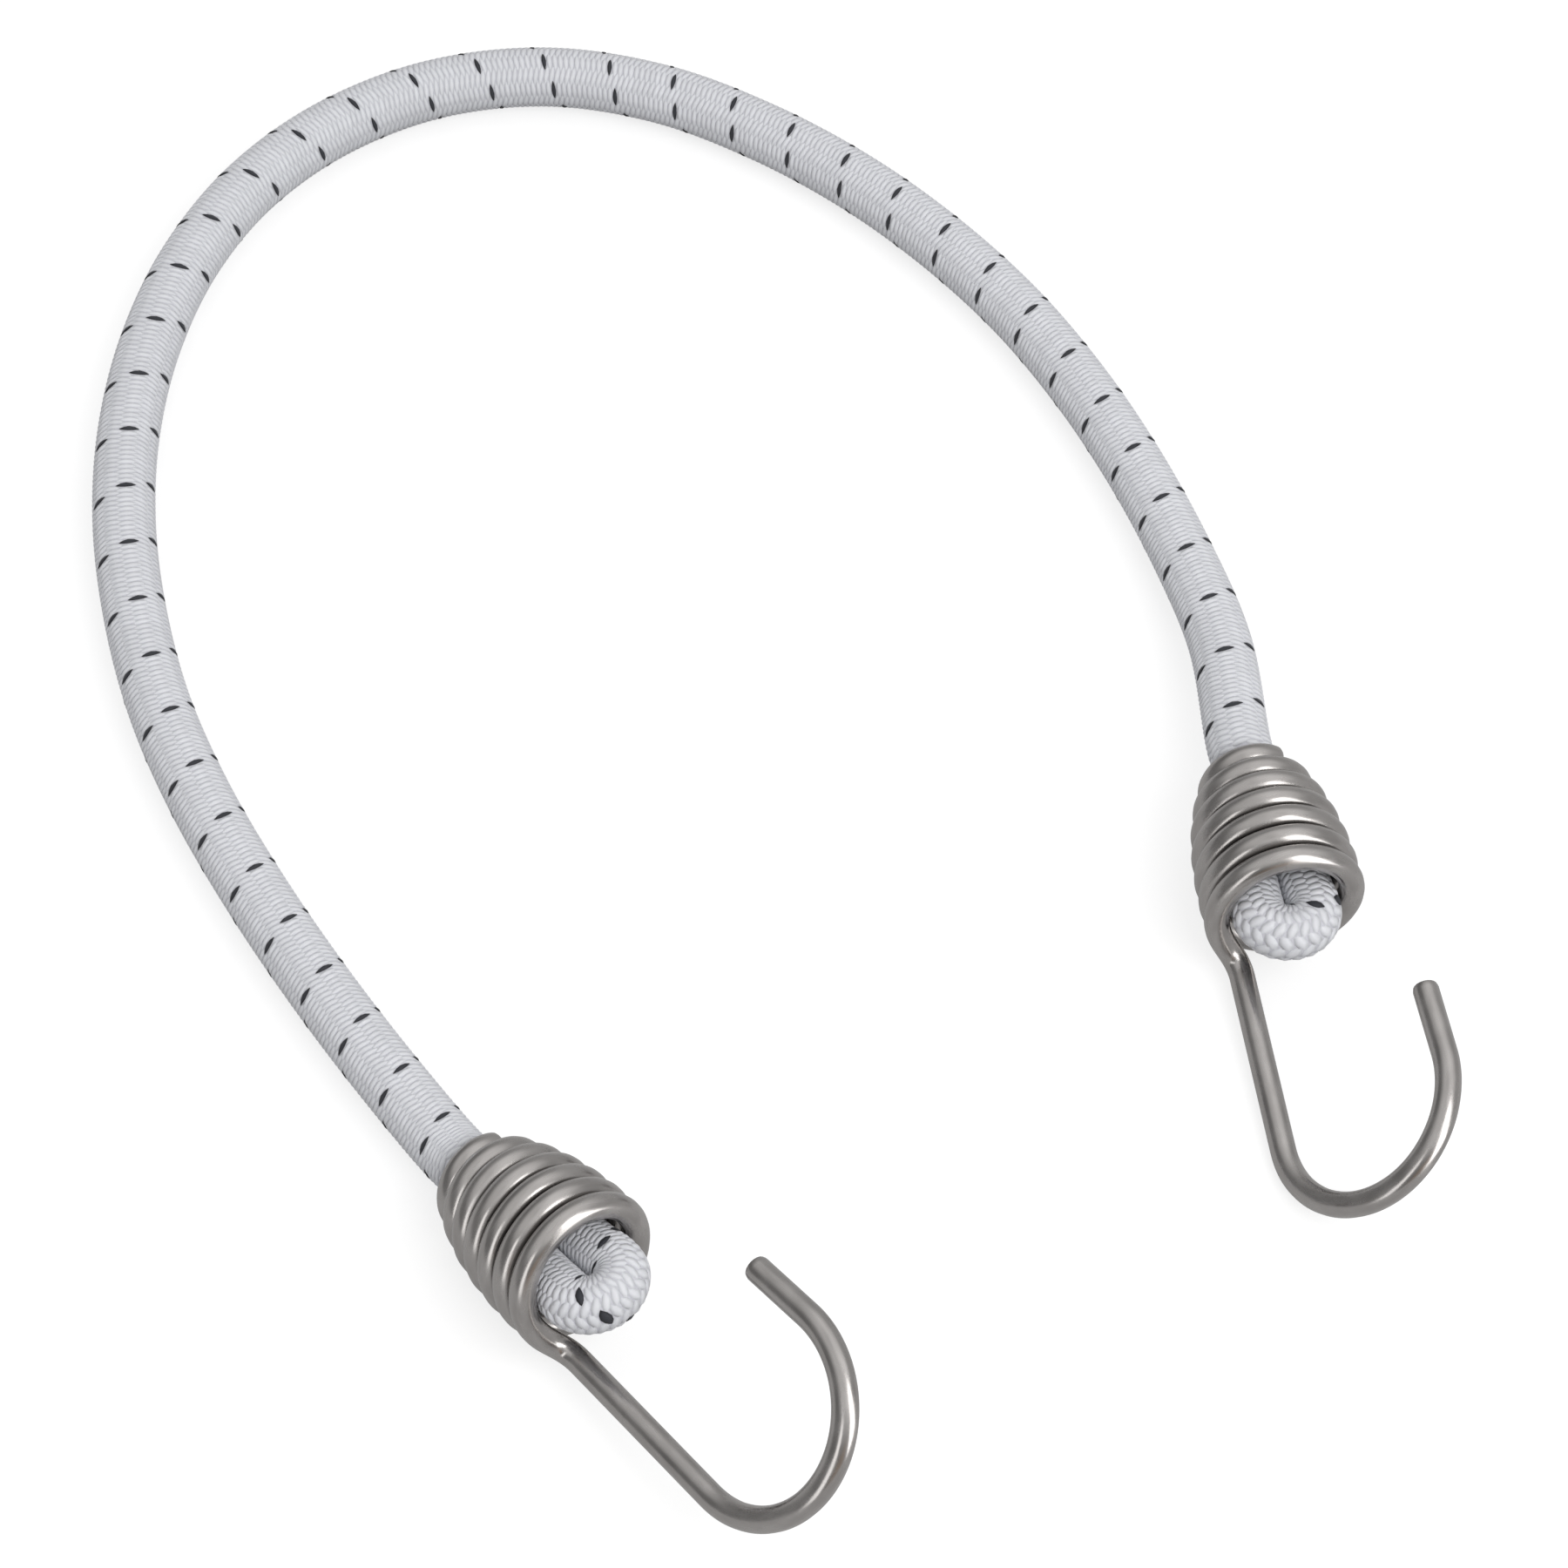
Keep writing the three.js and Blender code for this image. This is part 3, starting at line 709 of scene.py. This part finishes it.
coil_end = coil_point(1)
coil_way = unit(coil_end - coil_point(0.9999))
shank_start = np.array((9.45, 0, 3.04)) * MM
shank_way = unit((math.sin(SHANK_LEAN), math.sin(SHANK_SLANT), 1))
shank_end = shank_start + shank_way * SHANK_LENGTH
inwards = np.array((-math.cos(BEND_ROLL), math.sin(BEND_ROLL), 0))
inwards = unit(inwards - shank_way * (inwards @ shank_way))
bend_turned = np.linspace(0, BEND_TURN, 90)[:, None]
bend = (shank_end + inwards * BEND_RADIUS
        + BEND_RADIUS * (shank_way * np.sin(bend_turned) - inwards * np.cos(bend_turned)))
tip_way = unit(bend[-1] - bend[-2])
kink = pulled_curve(coil_end, coil_end + coil_way * KINK_PULL,
                    shank_start - shank_way * KINK_PULL, shank_start)
drawn, drawn_marks = evenly(
    np.concatenate([kink, [shank_end], bend, [bend[-1] + tip_way * TIP_LENGTH]]), step=0.4 * MM)
drawn_guide = guide_curve("drawn_guide", drawn, twist="MINIMUM")
print("kink, shank, bend and tip:", round(drawn_marks[-1] * 1000, 1), "mm")

# %% [markdown]
# ## The middle line of the wire
# The tree starts from a plain row of points. It puts the first ones on the coil by the coil's rule and
# the others on the drawn line, so that both belong to one curve. The number of turns that are still
# to go is kept as `coiled`, up to 1, so that the painted shade on the flanks fades over the coil's
# last turn.

# %% Put a row of points on the coil and on the drawn line
wire = Growth("beehive_hook_wire", {
    "Drawn Part": "Object", "Drawn Length": "Float", "Drawn Points": "Int", "Coil Points": "Int",
    "Turns": "Float", "Neck Radius": "Float", "Mouth Radius": "Float", "Fullness": "Float",
    "Pitch": "Float", "Leave Angle": "Float", "Wire Radius": "Float", "Sides": "Int",
    "Edge": "Float", "Finish": "Material",
})
w = wire.inputs
count = wire.total(w["Drawn Points"], w["Coil Points"])
row_of_points = wire.add("GeometryNodeResampleCurve", count=count,
                         curve=wire.add("GeometryNodeCurvePrimitiveLine"))
place_on_wire = wire.add("GeometryNodeInputIndex")
to_go = wire.minus(1, wire.math("DIVIDE", place_on_wire, w["Coil Points"]))
coil_angle = wire.minus(w["Leave Angle"], wire.product(to_go, w["Turns"], 2 * math.pi))
swell = wire.minus(1, wire.math("POWER", wire.math("MAXIMUM", to_go, 0), w["Fullness"]))
coil_radius = wire.total(w["Neck Radius"], wire.product(
    swell, wire.minus(w["Mouth Radius"], w["Neck Radius"])))
on_coil = wire.point(
    wire.product(coil_radius, wire.math("COSINE", coil_angle)),
    wire.product(coil_radius, wire.math("SINE", coil_angle)),
    wire.product(w["Pitch"], coil_angle, 1 / (2 * math.pi)))
past_coil = wire.math("DIVIDE", wire.minus(place_on_wire, w["Coil Points"]),
                      wire.minus(w["Drawn Points"], 1))
on_drawn = wire.add(
    "GeometryNodeSampleCurve", "Position", {"mode": "LENGTH"},
    curves=wire.add("GeometryNodeObjectInfo", 4, object=w["Drawn Part"]),
    length=wire.product(past_coil, w["Drawn Length"]))
on_either = wire.add(
    "GeometryNodeSwitch", settings={"input_type": "VECTOR"}, false=on_drawn, true=on_coil,
    switch=wire.math("LESS_THAN", place_on_wire, w["Coil Points"]))
centre = wire.add("GeometryNodeSetPosition", geometry=row_of_points, position=on_either)
centre = wire.add("GeometryNodeSetCurveNormal", curve=centre, settings={"mode": "MINIMUM_TWIST"})
centre = wire.keep(centre, "along", wire.add("GeometryNodeSplineParameter", 1))
centre = wire.keep(centre, "coiled", wire.math(
    "MINIMUM", 1, wire.math("MAXIMUM", 0, wire.product(to_go, w["Turns"]))))
print("middle line of the wire:", len(wire.group.nodes), "nodes")

# %% [markdown]
# ## The skin of the wire
# A round section runs along the middle line, a little smaller at the first and the last point, which
# breaks the sharp edge of the cut ends. The flanks that face the next turn look along the coil's
# axis, which is the hook's own Z. How far the skin's normal points along Z in the coil is stored for
# the finish, which darkens the wire's colour by it: a painted shade between the turns.

# %% Give the wire its skin and bend both hooks
section = wire.add("GeometryNodeCurvePrimitiveCircle", resolution=w["Sides"], radius=1.0)
section = wire.keep(section, "section", wire.add("GeometryNodeInputPosition"), kind="FLOAT_VECTOR")
from_cut = wire.math("MINIMUM", place_on_wire, wire.minus(wire.minus(count, 1), place_on_wire))
bevel = wire.minus(w["Wire Radius"], wire.product(
    w["Edge"], wire.math("MAXIMUM", wire.minus(1, from_cut), 0)))
wire_skin = wire.add("GeometryNodeCurveToMesh", curve=centre, profile_curve=section, scale=bevel,
                     fill_caps=True)
coiled = wire.add("GeometryNodeInputNamedAttribute", name="coiled", settings={"data_type": "FLOAT"})
sideways = wire.math("ABSOLUTE", wire.parts(wire.add("GeometryNodeInputNormal"))[2])
# Stored for the painted shade on the flanks between the turns.
wire_skin = wire.keep(wire_skin, "gap", wire.product(coiled, sideways))
wire.close(wire_skin, w["Finish"])

def bend_wire(name, end):
    """One hook in its place."""
    piece = grow(name, wire, drawn_part=drawn_guide, drawn_length=float(drawn_marks[-1]),
                 drawn_points=len(drawn), coil_points=720, turns=COIL_TURNS,
                 neck_radius=NECK_RADIUS, mouth_radius=MOUTH_RADIUS, fullness=FULLNESS,
                 pitch=COIL_PITCH, leave_angle=LEAVE_ANGLE, wire_radius=WIRE_DIAMETER / 2,
                 sides=20, edge=0.12 * MM, finish=steel)
    piece.data.transform(end)
    return piece

left_wire = bend_wire("left_wire", left_end)
right_wire = bend_wire("right_wire", right_end)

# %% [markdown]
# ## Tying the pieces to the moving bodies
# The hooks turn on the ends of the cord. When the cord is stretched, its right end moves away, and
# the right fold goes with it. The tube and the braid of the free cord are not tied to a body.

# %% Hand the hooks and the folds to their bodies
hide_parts("left_hook")
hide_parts("right_hook")
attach(left_wire, "left_hook")
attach(right_wire, "right_hook")

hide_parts("left_folded_sheath", "left_folded_core")
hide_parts("right_folded_sheath", "right_folded_core")
for piece in [left_fold, *left_fold_yarns]:
    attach(piece, "cord")
for piece in [right_fold, *right_fold_yarns]:
    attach(piece, "right_end")

STRANDS = ["rubber_strand_%d" % i for i in range(1, 8)]
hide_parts("cord_sheath", *STRANDS)
for piece in [cord_tube, *cord_braid]:
    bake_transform(piece)
for curve in guides:
    bpy.data.objects.remove(curve)
pieces = [left_wire, right_wire, left_fold, *left_fold_yarns,
          right_fold, *right_fold_yarns, cord_tube, *cord_braid]
print("pieces on bodies:", len(pieces))

# %% [markdown]
# ## The floor
# The picture has a plain white ground, and the object was cut out of its table. A white floor under
# even light is never quite white, so the camera sees it with some light of its own, and the soft
# shadow under the cord stays. The wire mirrors the floor as well. In the picture it mirrors a darker
# table than the white around it, so the floor is grey and glossy rays see little of its own light.

# %% White floor
FLOOR_HALF = 3.0
FLOOR_HEIGHT = -0.55 * MM
FLOOR_TONE = 0.4
OWN_LIGHT = {"Is Camera Ray": 0.73, "Is Glossy Ray": 0.2, "Is Transmission Ray": 0.73}

ground = Finish("white_ground", base_color=(FLOOR_TONE, FLOOR_TONE, FLOOR_TONE, 1), roughness=0.9,
                specular_ior_level=0, emission_color=(1, 1, 1, 1))
floor_rays = ground.group.nodes.new("ShaderNodeLightPath").outputs
ground.shade(emission_strength=ground.total(
    *(ground.product(floor_rays[ray], strength) for ray, strength in OWN_LIGHT.items())))

floor_mesh = bpy.data.meshes.new("floor")
floor_mesh.from_pydata(
    [(x * FLOOR_HALF, y * FLOOR_HALF, FLOOR_HEIGHT) for x, y in ((-1, -1), (1, -1), (1, 1), (-1, 1))],
    [], [(0, 1, 2, 3)])
floor = bpy.data.objects.new("floor", floor_mesh)
bpy.context.scene.collection.objects.link(floor)
floor_mesh.materials.append(ground.material)
print("floor:", 2 * FLOOR_HALF, "m wide")

# %% [markdown]
# ## The room that the wire reflects
# Polished wire shows the room around it, so the room matters as much as the lamps. It is drawn in the
# world by the direction of a ray: walls that are brighter towards the right, a paler ceiling and a
# warm patch at the front. Only glossy rays see that room. The camera sees plain white past the
# floor's edge, and everything else gets a plain even light.

# %% Draw the room in the world
EVEN_LIGHT = 0.66
world = bpy.data.worlds.new("studio")
bpy.context.scene.world = world
world.use_nodes = True
sky = Tree(world.node_tree)
sky.group.nodes.clear()
ray_x, ray_y, ray_z = sky.parts(sky.add("ShaderNodeTexCoord", "Generated"))
level = sky.math("SQRT", sky.math("MULTIPLY_ADD", ray_x, ray_x, sky.product(ray_y, ray_y)))

def sky_step(value, low, high, at_low, at_high):
    return sky.between(value, low, high, at_low, at_high, easing="SMOOTHSTEP")

def facing(azimuth):
    """1 where a ray heads for this azimuth, which is counted from +X towards +Y, and -1 opposite."""
    a = math.radians(azimuth)
    ahead = sky.math("MULTIPLY_ADD", ray_x, math.cos(a), sky.product(ray_y, math.sin(a)))
    return sky.math("DIVIDE", ahead, level)

def tall_patch(azimuth, half_width, bottom, top):
    """A soft-edged upright rectangle; its bottom and top are given as (from, to) of the ray's Z."""
    edge_out, edge_in = (math.cos(math.radians(half_width + d)) for d in (5, -5))
    return sky.product(sky_step(facing(azimuth), edge_out, edge_in, 0, 1),
                       sky_step(ray_z, *bottom, 0, 1), sky_step(ray_z, *top, 1, 0))

walls = sky_step(facing(20), -0.5, 0.5, 0.25, 0.5)
room = sky.total(walls, sky_step(ray_z, 0.4, 0.9, 0, 0.6))
sky_rays = sky.group.nodes.new("ShaderNodeLightPath").outputs
reflected = sky_rays["Is Glossy Ray"]
straight = sky.math("MAXIMUM", sky_rays["Is Camera Ray"], sky_rays["Is Transmission Ray"])
strength = sky.add("ShaderNodeMix", "Result", factor_float=reflected, a_float=EVEN_LIGHT, b_float=room)
warm = sky.add("ShaderNodeMix", "Result", {"data_type": "RGBA"},
               factor_float=sky.product(reflected, tall_patch(-70, 18, (-0.3, 0.0), (0.2, 0.5))),
               a_color=(1, 1, 1, 1), b_color=(1, 0.8, 0.66, 1))
glow = sky.add("ShaderNodeBackground", color=warm, strength=sky.math("MAXIMUM", strength, straight))
sky.plug(glow, sky.group.nodes.new("ShaderNodeOutputWorld").inputs[0])
print("world:", len(sky.group.nodes), "nodes")

# %% [markdown]
# ## The lamps
# A wide lamp at the front right, high over the table, shapes the cord and throws the soft shadow. It
# is hidden from the wire, where it would show as a stripe that the picture doesn't have. The streaks
# on the wire come from two tall soft boxes instead: a strong one at the right and a weak one at the
# front left. They stand close to the object, so each coil and each hook catches them at its own
# angle, and nothing but the wire's reflections sees them.

# %% Place the lamp and the soft boxes
def soft_box(name, place, aim, width, height, watts):
    """A rectangular area light that stands at a place and faces another one."""
    data = bpy.data.lights.new(name, "AREA")
    data.shape = "RECTANGLE"
    data.size, data.size_y = width, height
    data.energy = watts
    lamp = bpy.data.objects.new(name, data)
    bpy.context.scene.collection.objects.link(lamp)
    lamp.location = place
    lamp.rotation_euler = (Vector(aim) - lamp.location).to_track_quat("-Z", "Y").to_euler()
    return lamp

overhead = soft_box("overhead_lamp", (0.42, -0.45, 0.85), (-0.02, 0.06, 0), 0.7, 0.5, 4.0)
overhead.visible_glossy = False
right_box = soft_box("right_soft_box", (0.225, -0.14, 0.21), (0, 0, 0.21), 0.13, 0.42, 0.66)
left_box = soft_box("left_soft_box", (-0.15, -0.35, 0.18), (0, 0, 0.18), 0.13, 0.36, 0.27)
for box in (right_box, left_box):
    box.visible_camera = False
    box.visible_diffuse = False
bpy.context.scene.view_settings.view_transform = "Standard"
